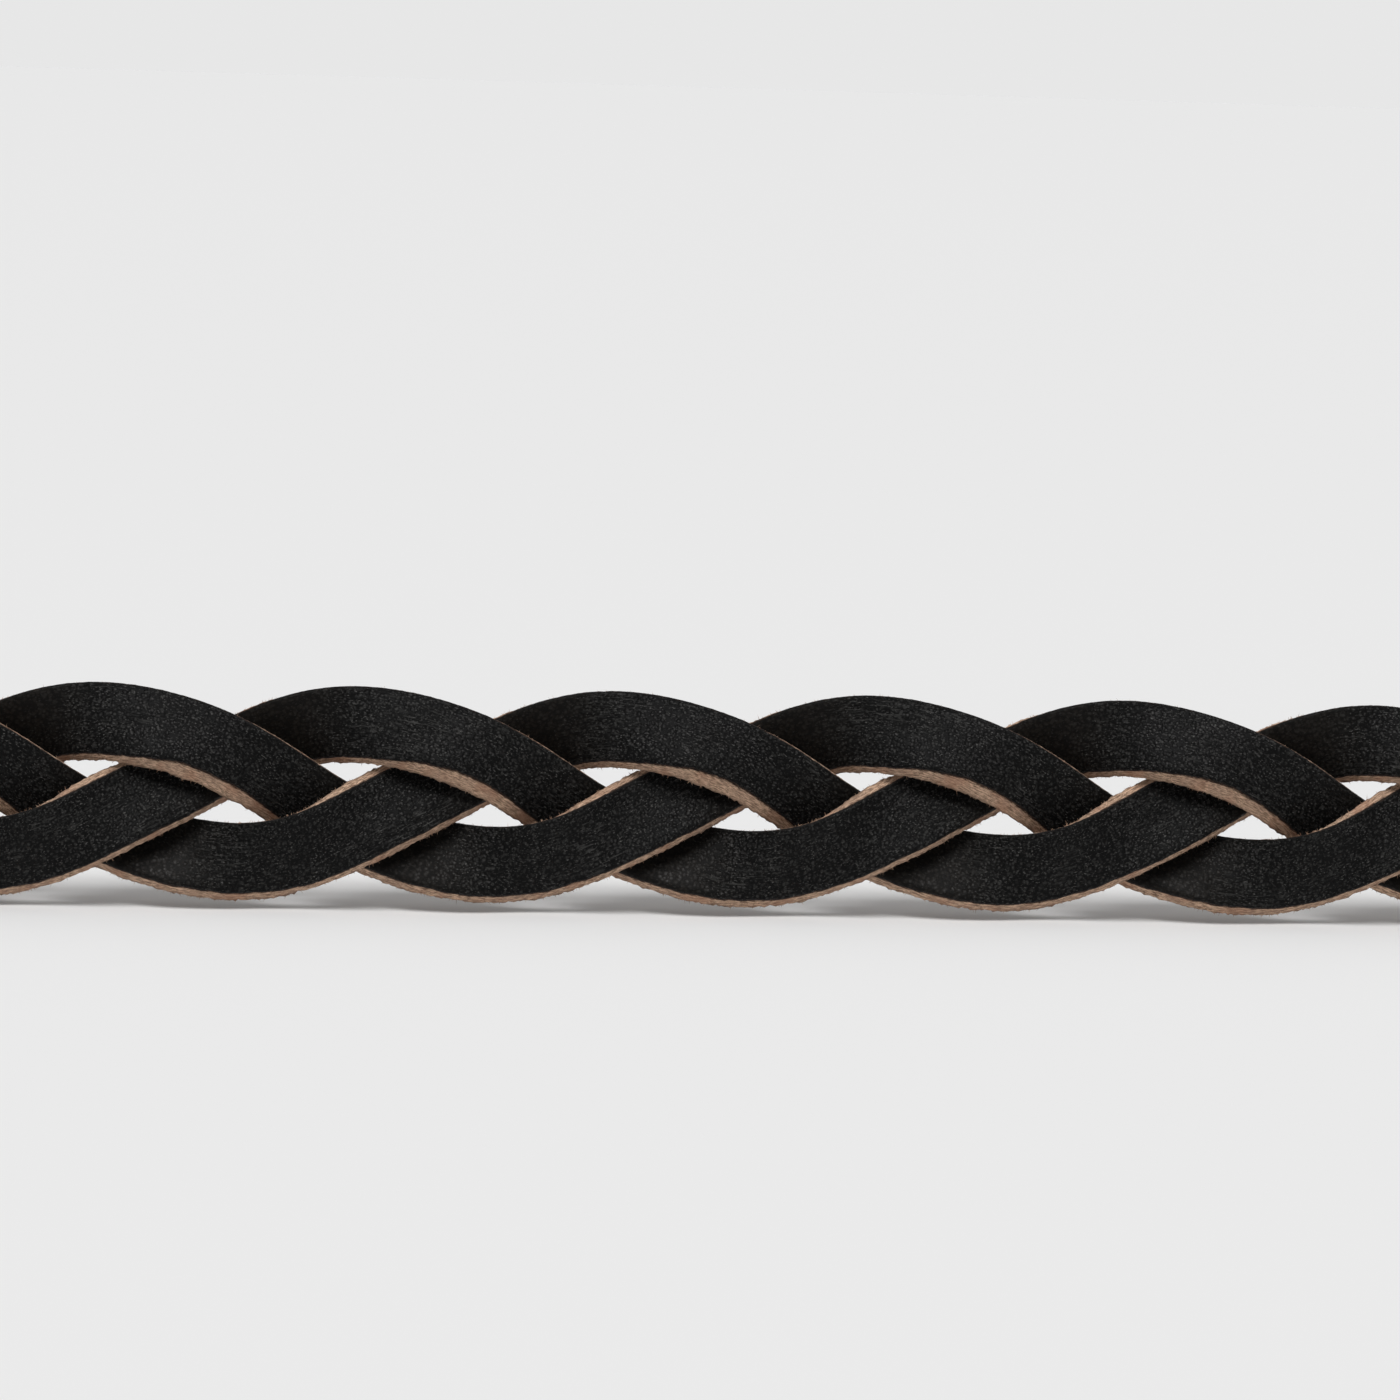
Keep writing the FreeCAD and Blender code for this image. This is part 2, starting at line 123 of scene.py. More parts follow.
# Loose fibres: how many, their length, half width, lean, and how wide and deep their feet are.
FIBRES_PER_MM = 13
FIBRE_LONG = (0.08, 0.36)
FIBRE_HALF_WIDE = (0.014, 0.03)
FIBRE_LEAN = 0.9
FIBRE_FOOT = 0.03
FIBRE_DEEP = 0.05
# Of the fibres, this share is on the upper edge, and this share is this many times as long.
FIBRES_ABOVE = 0.25
FIBRES_LONGER, LONGER_TIMES = 0.08, 1.6

# The cut mark where the rounded grain corner ends and the raw edge starts.
CORNER_MARK = 0.05
# The cut mark of a raw edge with no black finish beside it, and of a fibre.
BARE_MARK = 0.5
FIBRE_MARK = 0.9
# Fibres stand only where the cut mark is above this.
FRAYED_MARK = 0.3


def smooth(value, low, high):
    """0 before low, 1 after high, with no kink between."""
    part = np.clip((value - low) / (high - low), 0, 1)
    return part ** 3 * (10 - 15 * part + 6 * part * part)


def bump_at(turn, centre, width):
    """1 where turn passes centre, and 0 from width away, in degrees round the weave's cycle."""
    away = (np.degrees(turn) - centre + 180) % 360 - 180
    return 1 - smooth(np.abs(away), 0, width)


def swells(turn, bumps):
    """The sum of bumps round the weave's cycle, each an amount, a centre and a reach."""
    return sum(amount * bump_at(turn, centre, reach) for amount, centre, reach in bumps)


def wander(strand, s, seed, length):
    """An uneven drift between about -1 and 1, which differs from strand to strand."""
    total = np.zeros_like(s)
    for number in range(3):
        shift = 2.1 * strand + 1.7 * seed + 0.9 * number
        total += np.sin(s * 2 * math.pi / (length * (1 + 0.37 * number)) + 5 * shift)
    return total / 3


def drifts(strand, s, wanders):
    """The sum of uneven drifts, each an amount, a seed and a length."""
    return sum(amount * wander(strand, s, seed, length) for amount, seed, length in wanders)


# -------------------- the plait's formula

def phase(strand, s):
    """How far round the weave's cycle a strand is, in radians."""
    return 2 * math.pi * s / PERIOD + math.radians(STRAND_TURN) * strand


def skewed(strand, s):
    """The phase with each crest moved a little back along the plait."""
    turn = phase(strand, s)
    return turn + WEAVE_SKEW * np.cos(3 * turn)


def lane(strand, s):
    """The height at which a strand ends in its tab."""
    end = phase(strand, np.copysign(HALF_LENGTH, s))
    return LANE_PITCH * np.round(np.cos(end) / math.cos(math.radians(30)))


def height(strand, s):
    """How far the strand's middle is above the plait's."""
    settled = smooth(np.abs(s) - HALF_LENGTH, *LANE_BLEND)
    woven = WEAVE_HEIGHT * np.cos(skewed(strand, s)) + drifts(strand, s, HEIGHT_DRIFTS)
    return woven * (1 - settled) + lane(strand, s) * settled


def depth(strand, s, across):
    """How far the strand stands out where across runs from -1, below, to 1, above."""
    woven = 1 - smooth(np.abs(s) - HALF_LENGTH, *DEPTH_BLEND)
    turn = skewed(strand, s)
    over = WEAVE_DEPTH * np.sin(2 * turn) + drifts(strand, s, DEPTH_DRIFTS)
    return woven * (over - across * EDGE_TILT * np.sin(3 * turn))


def place(s, up, out):
    """Points of the U in the frame's millimetres, from the length along it, the rise and the way out."""
    hand = np.copysign(1, s)
    length = np.abs(s)
    turned = np.clip((length - FRONT_HALF) / TURN_RADIUS, 0, math.pi / 2)
    along = np.maximum(length - FRONT_HALF - TURN_RADIUS * math.pi / 2, 0)
    x = hand * (np.minimum(length, FRONT_HALF) + TURN_RADIUS * np.sin(turned))
    y = TURN_RADIUS * (1 - np.cos(turned)) + along
    lean = LEAN * (1 - smooth(length, FRONT_HALF, HALF_LENGTH))
    flat = out * np.cos(lean) - up * np.sin(lean)
    tall = out * np.sin(lean) + up * np.cos(lean)
    dip = TURN_DIP * (smooth(length, *DIP_BLEND) - smooth(length, *RISE_BLEND))
    x = FRONT.x + x + hand * np.sin(turned) * flat
    y = FRONT.y + y - np.cos(turned) * flat
    return np.stack([x, y, FRONT.z - dip + tall], axis=-1)


# -------------------- meshes

# The material slots of a piece of leather.
GRAIN, CUT, FLESH = 0, 1, 2


def mesh_piece(name, points, faces, materials, slots=None, strap=None, marks=None, cut_strap=None):
    """A mesh object from millimetre points, with its material slots, its strap map and its marks.

    cut_strap is the map for the faces of the cut edge, where it differs.
    """
    mesh = bpy.data.meshes.new(name)
    mesh.from_pydata((np.asarray(points) * MM).tolist(), [], faces)
    for material in materials:
        mesh.materials.append(material)
    if slots is not None:
        mesh.polygons.foreach_set("material_index", slots)
    mesh.shade_smooth()
    if strap is not None:
        corners = np.zeros(len(mesh.loops), int)
        mesh.loops.foreach_get("vertex_index", corners)
        where = np.asarray(strap)[corners]
        if cut_strap is not None:
            on_cut = np.repeat(np.asarray(slots) == CUT, [len(face) for face in faces])
            where[on_cut] = np.asarray(cut_strap)[corners[on_cut]]
        layer = mesh.uv_layers.new(name="strap")
        layer.data.foreach_set("uv", where.ravel())
    for mark, values in (marks or {}).items():
        attribute = mesh.attributes.new(mark, "FLOAT", "POINT")
        attribute.data.foreach_set("value", np.asarray(values, np.float32))
    mesh.update()
    piece = bpy.data.objects.new(name, mesh)
    bpy.context.scene.collection.objects.link(piece)
    return piece


def section_points():
    """Round a strand's section: (material, across, inset, lower cut, upper cut, out, cut mark)."""
    half = THICK / 2
    points = []
    for across in np.linspace(-1, 1, 17):
        crown = CROWN * (1 - across ** 4)
        points.append((GRAIN, across, -GRAIN_CORNER * across, 0, 0, half - CROWN + crown, 0))
    for angle in (30, 60, 90):
        inset = -GRAIN_CORNER * (1 - math.sin(math.radians(angle)))
        drop = GRAIN_CORNER * (1 - math.cos(math.radians(angle)))
        kind = GRAIN if angle < 60 else CUT
        points.append((kind, 1, inset, 0, 0, half - CROWN - drop, CORNER_MARK * angle / 90))
    top = half - CROWN - GRAIN_CORNER
    for share in (0.2, 0.4, 0.6, 0.8, 1):
        points.append((CUT, 1, 0, 0, share, top - share * (top + half - FLESH_CORNER), share))
    for across in np.linspace(1, -1, 9):
        share = (1 + across) / 2
        points.append((FLESH, across, -FLESH_CORNER * across, 1 - share, share, -half, 1))
    for share in (1, 0.85, 0.7, 0.55, 0.4, 0.25, 0.1):
        points.append((CUT, -1, 0, share, 0, top - share * (top + half - FLESH_CORNER), share))
    for angle in (90, 60, 30):
        inset = GRAIN_CORNER * (1 - math.sin(math.radians(angle)))
        drop = GRAIN_CORNER * (1 - math.cos(math.radians(angle)))
        kind = CUT if angle > 60 else GRAIN
        points.append((kind, -1, inset, 0, 0, half - CROWN - drop, CORNER_MARK * angle / 90))
    return points


def blurred(values, reach):
    """Random values run together over a few points, and still as strong."""
    kernel = np.hanning(2 * reach + 3)[1:-1]
    return np.convolve(values, kernel / math.sqrt((kernel ** 2).sum()), mode="same")


class Strand:
    """One strand's surface from end to end, as a grid of section points along s."""

    def __init__(self, number):
        self.number = number
        self.draws = np.random.default_rng(STRAND_SEED + number)
        self.s = np.linspace(-REACH, REACH, round(2 * REACH / STEP) + 1)
        self.middle = height(number, self.s)
        slope = np.gradient(self.middle, self.s)
        self.slope = np.arctan(slope)
        self.half_face = self.face_width() * np.sqrt(1 + slope ** 2) / 2
        self.lower, self.upper = self.cut_widths()
        self.worn_rim = swells(phase(number, self.s), WORN_SWELLS)
        steps = np.hypot(np.diff(self.s), np.diff(self.middle))
        self.length = np.concatenate([[0], np.cumsum(steps)])
        sections = section_points()
        self.kinds = [section[0] for section in sections]
        rows, straps, cuts = zip(*[self.column(*section) for section in sections])
        self.points = np.stack(rows, 1)
        self.points[..., 2] = np.maximum(self.points[..., 2], FLOOR_GAP)
        self.strap = np.stack(straps, 1) + [STRAND_STRAP * number, 0]
        self.cut = np.stack(cuts, 1)
        under = 0.5 - 0.5 * np.sin(2 * skewed(number, self.s))
        self.under = np.repeat(under[:, None], len(self.kinds), 1)

    def face_width(self):
        """The black face's width across the strand, which narrows for the tabs."""
        narrow = smooth(np.abs(self.s) - HALF_LENGTH, *WIDTH_BLEND)
        uneven = 1 + drifts(self.number, self.s, FACE_DRIFTS)
        return FACE * uneven * (1 - narrow) + END_FACE * narrow

    def cut_widths(self):
        """The width of the raw edge below the face and above it, which is even outside the weave."""
        turn = phase(self.number, self.s)
        woven = 1 - smooth(np.abs(self.s) - HALF_LENGTH, *PLAIN_BLEND)
        lower = LOWER_CUT + swells(turn, LOWER_SWELLS) + drifts(self.number, self.s, LOWER_DRIFTS)
        upper = UPPER_CUT + swells(turn, UPPER_SWELLS) + drifts(self.number, self.s, UPPER_DRIFTS)
        return [BEVEL + (width - BEVEL) * woven for width in (lower, upper)]

    def column(self, kind, across, inset, low, high, out, cut):
        """One section point's places, strap map and cut mark, from end to end of the strand."""
        edge = self.middle + across * self.half_face + inset
        if low > 0:
            up = edge - BEVEL / 2 + (1 - low) * self.lower
        else:
            up = edge + BEVEL / 2 + (self.lower - BEVEL) * (1 - across) / 2 - high * self.upper
        rough = CUT_ROUGHNESS * (ROUGH_LEAST + cut) * (kind == CUT or cut == 1)
        single, run, fine = [self.draws.normal(size=len(self.s)) for _ in range(3)]
        if kind != GRAIN:
            up = up + rough * (ROUGH_SINGLE * single + ROUGH_RUN * blurred(run, RUN_REACH))
        out = out + depth(self.number, self.s, across) + ROUGH_OUT * rough * blurred(fine, RUN_REACH)
        off = up - self.middle
        strap = np.stack([self.length + off * np.sin(self.slope), off * np.cos(self.slope)], -1)
        on_rim = across == 1 and 0 < cut <= CORNER_MARK
        wear_and_glints = self.worn_rim * (cut / CORNER_MARK) ** 2 if on_rim else np.zeros_like(self.s)
        return place(self.s, up, out), strap, cut + wear_and_glints

    def piece(self, name, start, stop, materials):
        """The stretch of the strand from index start to stop, closed at both ends."""
        keep = slice(start, stop + 1)
        rings, around = self.points[keep].shape[:2]
        faces, slots = [], []
        for ring in range(rings - 1):
            here, ahead = ring * around, (ring + 1) * around
            for n in range(around):
                m = (n + 1) % around
                faces.append((here + n, here + m, ahead + m, ahead + n))
                slots.append(self.kinds[n] if self.kinds[n] == self.kinds[m] else CUT)
        points = self.points[keep].reshape(-1, 3)
        strap = self.strap[keep].reshape(-1, 2)
        cut, under = self.cut[keep].ravel(), self.under[keep].ravel()
        for ring, way in ((0, 1), (rings - 1, -1)):
            rim = np.arange(around) + ring * around
            faces.append(tuple((np.arange(around)[::way] + len(points)).tolist()))
            slots.append(CUT)
            points, strap = np.vstack([points, points[rim]]), np.vstack([strap, strap[rim]])
            cut, under = np.append(cut, cut[rim]), np.append(under, under[rim])
        hairs, hair_faces, hair_strap = self.fibres(start, stop, len(points))
        points, strap = np.vstack([points, hairs]), np.vstack([strap, hair_strap])
        marks = {"cut": np.append(cut, np.full(len(hairs), FIBRE_MARK)),
                 "under": np.append(under, np.zeros(len(hairs)))}
        slots += [CUT] * len(hair_faces)
        return mesh_piece(name, points, faces + hair_faces, materials, slots, strap, marks)

    def fibres(self, start, stop, first):
        """Short loose fibres along the raw edges: thin closed slivers. first is the first point's index."""
        edge = [n for n, kind in enumerate(self.kinds) if kind == CUT and self.cut[0, n] > FRAYED_MARK]
        above = [n for n in edge if n < len(self.kinds) / 2]
        below = [n for n in edge if n > len(self.kinds) / 2]
        hairs, faces, strap = [], [], []
        for _ in range(int((stop - start) * STEP * FIBRES_PER_MM)):
            ring = int(self.draws.integers(start + 2, stop - 2))
            if abs(self.s[ring]) > HALF_LENGTH:
                continue
            column = int(self.draws.choice(above if self.draws.random() < FIBRES_ABOVE else below))
            a, b, c, d = range(first + len(hairs), first + len(hairs) + 4)
            hairs += self.fibre(ring, column)
            faces += [(a, c, b), (a, b, d), (b, c, d), (c, a, d)]
            strap += [self.strap[ring, column]] * 4
        return np.array(hairs), faces, np.array(strap)

    def fibre(self, ring, column):
        """A fibre's four corners: three at its foot, inside the leather, and its tip."""
        root = self.points[ring, column]
        ahead = self.points[ring + 1, column] - root
        ahead /= np.linalg.norm(ahead)
        away = root - self.points[ring].mean(0)
        away -= ahead * (away @ ahead)
        away /= np.linalg.norm(away)
        long = self.draws.uniform(*FIBRE_LONG) * (LONGER_TIMES if self.draws.random() < FIBRES_LONGER else 1)
        lean = self.draws.normal(0, FIBRE_LEAN)
        tip = root + (away + ahead * lean) / math.hypot(1, lean) * long
        tip[2] = max(tip[2], FLOOR_GAP)
        side = np.cross(ahead, away) * self.draws.uniform(*FIBRE_HALF_WIDE)
        base, foot = root - away * FIBRE_DEEP, ahead * FIBRE_FOOT
        return [base + foot, base - foot + side, base - foot - side, tip]


def hidden_crossing(number):
    """Where the strand runs under another, as it does twice a cycle, nearest to the front's centre."""
    turns = range(UNDER_TURN - 360, UNDER_TURN + 361, 180)
    return min([(turn - STRAND_TURN * number) / 360 * PERIOD for turn in turns], key=abs)


# -------------------- materials

class Shader:
    """A material and short ways to add nodes to it. A socket given as an input is linked."""

    def __init__(self, name):
        self.material = bpy.data.materials.new(name)
        self.material.use_nodes = True
        self.tree = self.material.node_tree
        self.surface = self.tree.nodes["Principled BSDF"]

    def node(self, kind, inputs=None, **settings):
        node = self.tree.nodes.new(kind)
        for key, value in settings.items():
            setattr(node, key, value)
        self.fill(node, inputs or {})
        return node

    def fill(self, node, inputs):
        for key, value in inputs.items():
            if isinstance(value, bpy.types.NodeSocket):
                self.tree.links.new(value, node.inputs[key])
            else:
                node.inputs[key].default_value = value

    def strap(self, along=1.0, across=1.0):
        """The place on the leather in millimetres, scaled along and across the strap."""
        where = self.node("ShaderNodeUVMap", uv_map="strap").outputs[0]
        scale = {0: where, 3: (along, across, 1)}
        return self.node("ShaderNodeMapping", scale).outputs[0]

    def noise(self, where, scale, detail=2.0, roughness=0.5, warp=0.0):
        """Noise with about scale blobs to each unit of where."""
        inputs = {"Vector": where, "Scale": scale, "Detail": detail}
        inputs.update({"Roughness": roughness, "Distortion": warp})
        return self.node("ShaderNodeTexNoise", inputs).outputs[0]

    def shift(self, where, by, amount):
        """where, moved about by a noise."""
        moved = self.node("ShaderNodeVectorMath", {0: by, 1: (0.5, 0.5, 0.5)}, operation="SUBTRACT")
        scaled = self.node("ShaderNodeVectorMath", {0: moved.outputs[0], "Scale": amount}, operation="SCALE")
        return self.node("ShaderNodeVectorMath", {0: where, 1: scaled.outputs[0]}).outputs[0]

    def math(self, operation, a, b=0.0):
        return self.node("ShaderNodeMath", {0: a, 1: b}, operation=operation).outputs[0]

    def times(self, a, b):
        return self.math("MULTIPLY", a, b)

    def span(self, value, low, high, to_low=0.0, to_high=1.0):
        """A smooth step from to_low where value is low to to_high where it is high."""
        inputs = {0: value, 1: low, 2: high, 3: to_low, 4: to_high}
        return self.node("ShaderNodeMapRange", inputs, interpolation_type="SMOOTHSTEP").outputs[0]

    def mix(self, share, a, b):
        inputs = {0: share, 6: a, 7: b}
        return self.node("ShaderNodeMix", inputs, data_type="RGBA").outputs[2]

    def mark(self, name):
        return self.node("ShaderNodeAttribute", attribute_name=name).outputs["Fac"]

    def bump(self, tall, distance, strength=1.0, normal=None):
        """The normal of a height, whose distance is in millimetres."""
        inputs = {"Height": tall, "Distance": distance * MM, "Strength": strength}
        if normal is not None:
            inputs["Normal"] = normal
        return self.node("ShaderNodeBump", inputs).outputs[0]

    def finish(self, **inputs):
        self.fill(self.surface, {key.replace("_", " "): value for key, value in inputs.items()})
        return self.material


def colour(red, green, blue):
    return (red, green, blue, 1)


def pebbles(shader, drift):
    """The grain's pebbles: how high each point is on its pebble, and that times the pebble's size."""
    bent = shader.shift(shader.strap(), drift, 0.5)
    cells = shader.node("ShaderNodeTexVoronoi", {"Vector": bent, "Scale": 2.5})
    dome = shader.span(cells.outputs["Distance"], 0.1, 0.75, to_low=1.0, to_high=0.0)
    size = shader.span(cells.outputs["Color"], 0.1, 0.9, to_low=0.45)
    return dome, shader.times(dome, size)


def creases(shader, stretched, calm, amount):
    """Creases along the strap: their height, and how much of them shows in which patches."""
    ridge = shader.noise(stretched, 1.15, detail=4, roughness=0.6, warp=0.3)
    crease = shader.span(shader.math("ABSOLUTE", shader.math("SUBTRACT", ridge, 0.5)), 0.0, 0.09)
    patch = shader.span(shader.noise(shader.strap(0.7, 1.3), 0.14), 0.46, 0.66)
    return crease, shader.times(shader.times(patch, calm), amount)


def painted_glints(shader, dome, stretched, creased):
    """Painted highlights that lighten the black: glints on the pebbles' tops, small glinting specks, and
    glinting streaks on the creases.
    """
    # Painted highlights: each part below is a glint painted into the colour.
    cloud = shader.noise(shader.strap(0.6, 1.4), 1.3, detail=3, roughness=0.65)
    lit = shader.span(cloud, 0.36, 0.64, to_low=0.03, to_high=0.26)
    top_glints = shader.times(shader.span(dome, 0.30, 0.95), lit)
    glint_specks = shader.span(shader.noise(shader.strap(0.7, 1.3), 4.8, detail=3, roughness=0.65), 0.555, 0.68)
    glint_streaks = shader.span(shader.noise(stretched, 2.6, detail=3, roughness=0.6), 0.54, 0.64, to_high=0.7)
    wear_and_glints = shader.math("MAXIMUM", glint_specks, shader.times(glint_streaks, creased))
    patch = shader.span(shader.noise(shader.strap(), 0.5), 0.3, 0.7, to_low=0.3)
    return shader.math("MAXIMUM", shader.times(wear_and_glints, patch), top_glints)


def grain_leather(name, wrinkled=1.0):
    """Black leather with a fine pebbled grain, and creases that run along the strap."""
    shader = Shader(name)
    place_mm = shader.strap()
    drift = shader.node("ShaderNodeTexNoise", {"Vector": place_mm, "Scale": 0.8}).outputs[1]
    stretched = shader.shift(shader.strap(0.2, 1.7), drift, 0.5)
    under = shader.mark("under")
    calm = shader.span(under, 0.6, 0.97, to_low=1.0, to_high=0.25)
    dome, pebble = pebbles(shader, drift)
    crease, creased = creases(shader, stretched, calm, 0.7 * wrinkled)
    fine = shader.noise(place_mm, 7.0, detail=3, roughness=0.6)
    normal = shader.bump(fine, 0.03, strength=0.6)
    normal = shader.bump(pebble, 0.12, strength=calm, normal=normal)
    normal = shader.bump(crease, 0.12, strength=creased, normal=normal)
    shade = shader.mix(fine, colour(0.0007, 0.0007, 0.0008), colour(0.0022, 0.0021, 0.0021))
    # Painted sheen: a smooth brownish tone where the strand runs under another.
    shade = shader.mix(shader.span(under, 0.45, 1.0, to_high=0.8), shade, colour(0.0070, 0.0054, 0.0040))
    # Painted shade: the black is darkened in the hollows between the pebbles.
    painted_gap_shade = shader.span(dome, 0.0, 0.5, to_low=0.6, to_high=0.0)
    shade = shader.mix(painted_gap_shade, shade, colour(0.001, 0.001, 0.001))
    # Painted highlights: the glints lighten the black, less where the strand runs under another.
    wear_and_glints = shader.times(painted_glints(shader, dome, stretched, creased), calm)
    shade = shader.mix(wear_and_glints, shade, colour(0.096, 0.094, 0.090))
    rough = shader.span(pebble, 0.1, 0.9, to_low=0.60, to_high=0.36)
    cloud = shader.noise(place_mm, 0.25, detail=3)
    rough = shader.math("ADD", rough, shader.span(cloud, 0.3, 0.7, to_low=-0.04, to_high=0.06))
    return shader.finish(**{"Base Color": shade, "Roughness": rough, "Normal": normal,
                            "Specular IOR Level": 0.11})


def raw_edge(name):
    """The cut edge: brushed tan fibres, burnt brown where the black finish ends."""
    shader = Shader(name)
    cut = shader.mark("cut")
    brushed = shader.noise(shader.strap(0.9, 5.5), 1.6, detail=6, roughness=0.72, warp=0.5)
    pits = shader.noise(shader.strap(3.0, 4.0), 2.2, detail=3, roughness=0.6)
    patch = shader.noise(shader.strap(), 0.30, detail=3)
    tan = shader.mix(shader.span(brushed, 0.38, 0.62), colour(0.20, 0.122, 0.079), colour(0.80, 0.55, 0.385))
    tan = shader.mix(shader.span(patch, 0.38, 0.68, to_high=0.4), tan, colour(0.40, 0.26, 0.19))
    warm = shader.noise(shader.strap(0.5, 0.5), 0.55)
    tan = shader.mix(shader.span(warm, 0.46, 0.66, to_high=0.5), tan, colour(0.40, 0.20, 0.125))
    tan = shader.mix(shader.span(pits, 0.60, 0.74, to_high=0.6), tan, colour(0.12, 0.07, 0.045))
    ragged = shader.math("ADD", cut, shader.times(shader.math("SUBTRACT", brushed, 0.5), 0.35))
    burnt = shader.span(ragged, 0.02, 0.10)
    line = shader.span(ragged, 0.08, 0.22)
    far = shader.span(ragged, 0.86, 1.02, to_high=0.55)
    shade = shader.mix(burnt, colour(0.004, 0.004, 0.004), colour(0.036, 0.019, 0.012))
    shade = shader.mix(line, shade, tan)
    shade = shader.mix(far, shade, colour(0.14, 0.085, 0.058))
    normal = shader.bump(pits, 0.10, strength=0.6)
    normal = shader.bump(brushed, 0.22, normal=normal)
    return shader.finish(**{"Base Color": shade, "Roughness": 0.92, "Normal": normal,
                            "Specular IOR Level": 0.12, "Sheen Weight": 0.06, "Sheen Roughness": 0.5})


def flesh_side(name):
    """The napped back of the leather."""
    shader = Shader(name)
    nap = shader.noise(shader.strap(1.0, 1.5), 3.0, detail=6, roughness=0.78, warp=0.6)
    cloud = shader.noise(shader.strap(0.9, 1.2), 0.20, detail=4, roughness=0.6)
    scuff = shader.noise(shader.strap(0.8, 1.2), 1.1, detail=5, roughness=0.7, warp=0.4)
    shade = shader.mix(shader.span(nap, 0.3, 0.7), colour(0.19, 0.115, 0.070), colour(0.50, 0.35, 0.25))
    shade = shader.mix(shader.span(cloud, 0.38, 0.66, to_high=0.45), shade, colour(0.27, 0.17, 0.11))
    shade = shader.mix(shader.span(scuff, 0.54, 0.72, to_high=0.4), shade, colour(0.15, 0.092, 0.058))
    normal = shader.bump(nap, 0.18)
    normal = shader.bump(scuff, 0.12, strength=0.5, normal=normal)
    return shader.finish(**{"Base Color": shade, "Roughness": 0.95, "Normal": normal,
                            "Specular IOR Level": 0.1, "Sheen Weight": 0.3, "Sheen Roughness": 0.6})


def waxed_thread(name):
    """Twisted black thread: slanting plies and a soft wax shine."""
    shader = Shader(name)
    fine = shader.noise(shader.strap(1.2, 6), 2.6, detail=3)
    shade = shader.mix(fine, colour(0.005, 0.0048, 0.0046), colour(0.024, 0.023, 0.022))
    normal = shader.bump(fine, 0.05, strength=0.8)
    return shader.finish(**{"Base Color": shade, "Roughness": 0.34, "Normal": normal,
                            "Specular IOR Level": 0.5})


def woven_elastic(name):
    """Knitted elastic: rows of small stitches over the lengthwise rubber ribs."""
    shader = Shader(name)
    where = shader.strap()
    rows = shader.node("ShaderNodeTexWave", {"Vector": where, "Scale": 0.62, "Distortion": 0.6},
                       wave_type="BANDS", bands_direction="X").outputs[1]
    slant = shader.node("ShaderNodeTexWave", {"Vector": where, "Scale": 0.9, "Distortion": 0.3},
                        wave_type="BANDS", bands_direction="DIAGONAL").outputs[1]
    fuzz = shader.noise(where, 5.0, detail=4, roughness=0.7)
    weave = shader.times(rows, slant)
    shade = shader.mix(weave, colour(0.008, 0.008, 0.0085), colour(0.030, 0.030, 0.032))
    shade = shader.mix(shader.times(fuzz, 0.25), shade, colour(0.05, 0.05, 0.053))
    normal = shader.bump(fuzz, 0.04, strength=0.6)
    normal = shader.bump(weave, 0.12, strength=0.8, normal=normal)
    return shader.finish(**{"Base Color": shade, "Roughness": 0.8, "Normal": normal,
                            "Sheen Weight": 0.4, "Sheen Roughness": 0.4})


def snap_metal(name):
    """Dark nickel plate, softly worn: warmer and brighter on small scuffs."""
    shader = Shader(name)
    where = shader.node("ShaderNodeTexCoord").outputs["Object"]
    cloud = shader.noise(where, 260, detail=3)
    scratch = shader.noise(where, 2600, roughness=0.6, warp=1.5)
    shade = shader.mix(cloud, colour(0.33, 0.315, 0.30), colour(0.50, 0.47, 0.43))
    rough = shader.span(scratch, 0.35, 0.7, to_low=0.20, to_high=0.36)
    normal = shader.bump(scratch, 0.006, strength=0.5)
    return shader.finish(**{"Base Color": shade, "Metallic": 1.0, "Roughness": rough, "Normal": normal})


def studio_floor(name):
    """A plain pale floor with no gloss."""
    shader = Shader(name)
    return shader.finish(**{"Base Color": colour(0.86, 0.86, 0.86), "Roughness": 0.85,
                            "Specular IOR Level": 0.1})


BLACK = grain_leather("black_grain_leather")
TAB_BLACK = grain_leather("tab_grain_leather", 0.45)
EDGE = raw_edge("raw_cut_edge")
SUEDE = flesh_side("suede_flesh_side")
LINING = flesh_side("split_lining_leather")
THREAD = waxed_thread("waxed_thread")
ELASTIC = woven_elastic("woven_elastic")
METAL = snap_metal("dark_nickel")


# -------------------- the strands

LEFT, RIGHT = -1, 1


def make_strand(number, node):
    """A strand in two lengths, which meet out of sight where it runs under another."""
    strand = Strand(number)
    last = len(strand.s) - 1
    split = int(np.abs(strand.s - hidden_crossing(number)).argmin())
    lengths = (("left", 0, split, LEFT_HINGE, LEFT), ("right", split, last, RIGHT_HINGE, RIGHT))
    for side, start, stop, hinge, hand in lengths:
        piece = strand.piece(f"{node}_{side}", start, stop, (BLACK, EDGE, SUEDE))
        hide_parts(node)
        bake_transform(piece)


for number, node in enumerate(STRANDS):
    make_strand(number, node)


# -------------------- tabs, stitching, elastic and snap

TAB_CORNER = 6
ENTRY_CORNER = 0.7
LEAST_CORNER = 0.3
STITCH_INSET = 1.4
STITCH_PITCH = 4
SEAT_ROW = 10
CORE_INSET = 0.3
CORE_RAIL = 2.6
CORE_SEAT = 11
CORE_GAP = 0.02
CORE_STEP = 0.4
CORE_FUZZ = 0.03
CORE_SEED = 31
CORE_RISES = (0, 0.05, 0.3, 0.55, 0.8, 0.95, 1)
CORNER_STEPS = 10
SIDE_STEPS = 60
RIM_ROUND = 0.28
# Where the rims' and the fillers' strap maps start, clear of the faces' own.
RIM_STRAP, CORE_STRAP = 500, 900
PRESSED = 0.16


def node_box(node):
    """A CAD node's lowest and highest corners in millimetres."""
    low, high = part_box(node)
    return low / MM, high / MM


